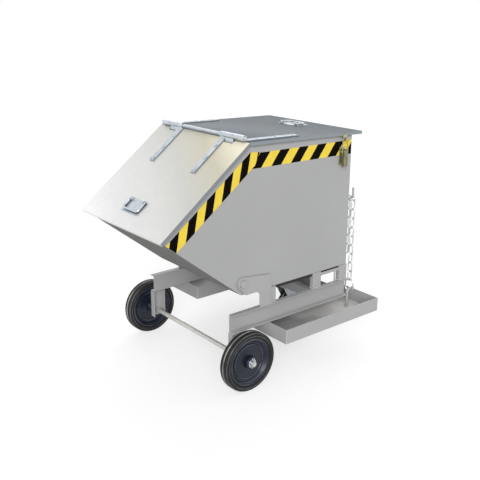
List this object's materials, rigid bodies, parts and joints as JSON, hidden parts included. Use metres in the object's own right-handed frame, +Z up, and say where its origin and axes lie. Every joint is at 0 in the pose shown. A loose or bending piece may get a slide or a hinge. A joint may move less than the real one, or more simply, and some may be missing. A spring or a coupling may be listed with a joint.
{
  "type": "tipping skip trolley",
  "caption": "Forward-tipping sheet-metal skip on a wheeled channel frame, with two hinged galvanised lids, folding handles, a toggle latch and a safety chain",
  "frame": {"origin": "on the ground under the middle of the overall box", "axes": "-Y is the pouring end with the front lid and the two fixed wheels, +Y the end with the caster, +X the side with the latch and the chain, +Z up"},
  "size_m": [0.82, 1.0704, 1.0096],
  "materials": {
    "grey_paint": "satin",
    "zinc_steel": "satin",
    "galvanised_sheet": "satin",
    "yellow_chromate": "satin",
    "black_rubber": "matte",
    "dark_plastic": "satin"
  },
  "bodies": {
    "chassis": {"rail_left": "grey_paint", "rail_right": "grey_paint", "front_leg_left": "grey_paint", "front_leg_right": "grey_paint", "bearing_plate_left": "grey_paint", "bearing_plate_right": "grey_paint", "pivot_bolts": "zinc_steel", "front_posts": "grey_paint", "middle_posts": "grey_paint", "rear_posts": "grey_paint", "rest_ties": "grey_paint", "stay_rod": "grey_paint", "rear_crossmember": "grey_paint", "tray_left": "grey_paint", "tray_right": "grey_paint", "front_axle": "grey_paint", "axle_spacers": "zinc_steel", "axle_washers": "zinc_steel", "split_pins": "zinc_steel", "caster_plate": "zinc_steel", "chain_lug": "grey_paint"},
    "left_wheel": {"front_left_tyre": "black_rubber", "front_left_wheel_centre": "dark_plastic"},
    "right_wheel": {"front_right_tyre": "black_rubber", "front_right_wheel_centre": "dark_plastic"},
    "caster_fork_body": {"caster_fork": "zinc_steel", "caster_kingpin": "zinc_steel", "caster_axle_bolt": "zinc_steel"},
    "caster_wheel": {"caster_tyre": "black_rubber", "caster_wheel_centre": "dark_plastic"},
    "skip": {"skip_side_left": "grey_paint", "skip_side_right": "grey_paint", "skip_wrapper": "grey_paint", "floor_runners": "grey_paint", "pivot_pads": "grey_paint", "ridge_bar": "grey_paint", "hinge_brackets": "grey_paint", "hinge_rod": "zinc_steel", "latch_base": "yellow_chromate", "latch_pin": "yellow_chromate", "chain_hook": "grey_paint", "chain_hook_link": "zinc_steel"},
    "front_lid_body": {"front_lid": "galvanised_sheet", "front_lid_straps": "zinc_steel", "front_strap_bolts": "zinc_steel", "front_handle_plate": "zinc_steel"},
    "front_handle_body": {"front_handle": "zinc_steel"},
    "rear_lid_body": {"rear_lid": "galvanised_sheet", "rear_lid_straps": "zinc_steel", "rear_strap_bolts": "zinc_steel", "rear_handle_plate": "zinc_steel", "latch_keeper": "yellow_chromate"},
    "rear_handle_body": {"rear_handle": "zinc_steel"},
    "lever_body": {"latch_lever": "yellow_chromate"},
    "loop_body": {"latch_loop": "yellow_chromate"},
    "chain_body": {"safety_chain": "zinc_steel", "chain_ring": "zinc_steel"}
  },
  "joints": [
    {"name": "left_wheel_roll", "type": "hinge", "parent": "chassis", "child": "left_wheel", "pos_m": [0.363, -0.185, 0.125], "axis": [1, 0, 0], "continuous": true},
    {"name": "right_wheel_roll", "type": "hinge", "parent": "chassis", "child": "right_wheel", "pos_m": [-0.363, -0.185, 0.125], "axis": [1, 0, 0], "continuous": true},
    {"name": "caster_swivel", "type": "hinge", "parent": "chassis", "child": "caster_fork_body", "pos_m": [0, 0.35, 0.2097], "axis": [0, 0, 1], "continuous": true},
    {"name": "caster_roll", "type": "hinge", "parent": "caster_fork_body", "child": "caster_wheel", "pos_m": [0, 0.393, 0.09], "axis": [1, 0, 0], "continuous": true},
    {"name": "skip_tip", "type": "hinge", "parent": "chassis", "child": "skip", "pos_m": [0, -0.153, 0.424], "axis": [1, 0, 0], "range_deg": [0, 75]},
    {"name": "front_lid_hinge", "type": "hinge", "parent": "skip", "child": "front_lid_body", "pos_m": [0, -0.13004, 0.99856], "axis": [-1, 0, 0], "range_deg": [0, 110]},
    {"name": "rear_lid_hinge", "type": "hinge", "parent": "skip", "child": "rear_lid_body", "pos_m": [0, -0.13004, 0.99856], "axis": [1, 0, 0], "range_deg": [0, 90]},
    {"name": "front_handle_hinge", "type": "hinge", "parent": "front_lid_body", "child": "front_handle_body", "pos_m": [0, -0.4399, 0.75354], "axis": [-1, 0, 0], "range_deg": [0, 90]},
    {"name": "rear_handle_hinge", "type": "hinge", "parent": "rear_lid_body", "child": "rear_handle_body", "pos_m": [0, 0.3476, 0.97936], "axis": [1, 0, 0], "range_deg": [0, 90]},
    {"name": "latch_lever_swing", "type": "hinge", "parent": "skip", "child": "lever_body", "pos_m": [0.306, 0.39, 0.89199], "axis": [0, -1, 0], "range_deg": [0, 150]},
    {"name": "latch_loop_swing", "type": "hinge", "parent": "lever_body", "child": "loop_body", "pos_m": [0.306, 0.39, 0.88299], "axis": [0, -1, 0], "range_deg": [-150, 0]},
    {"name": "chain_swing", "type": "hinge", "parent": "skip", "child": "chain_body", "pos_m": [0.279, 0.471, 0.6603], "axis": [1, 0, 0], "range_deg": [0, 70]}
  ],
  "couplings": [
    {"joint": "latch_loop_swing", "follows": "latch_lever_swing", "ratio": -1}
  ]
}
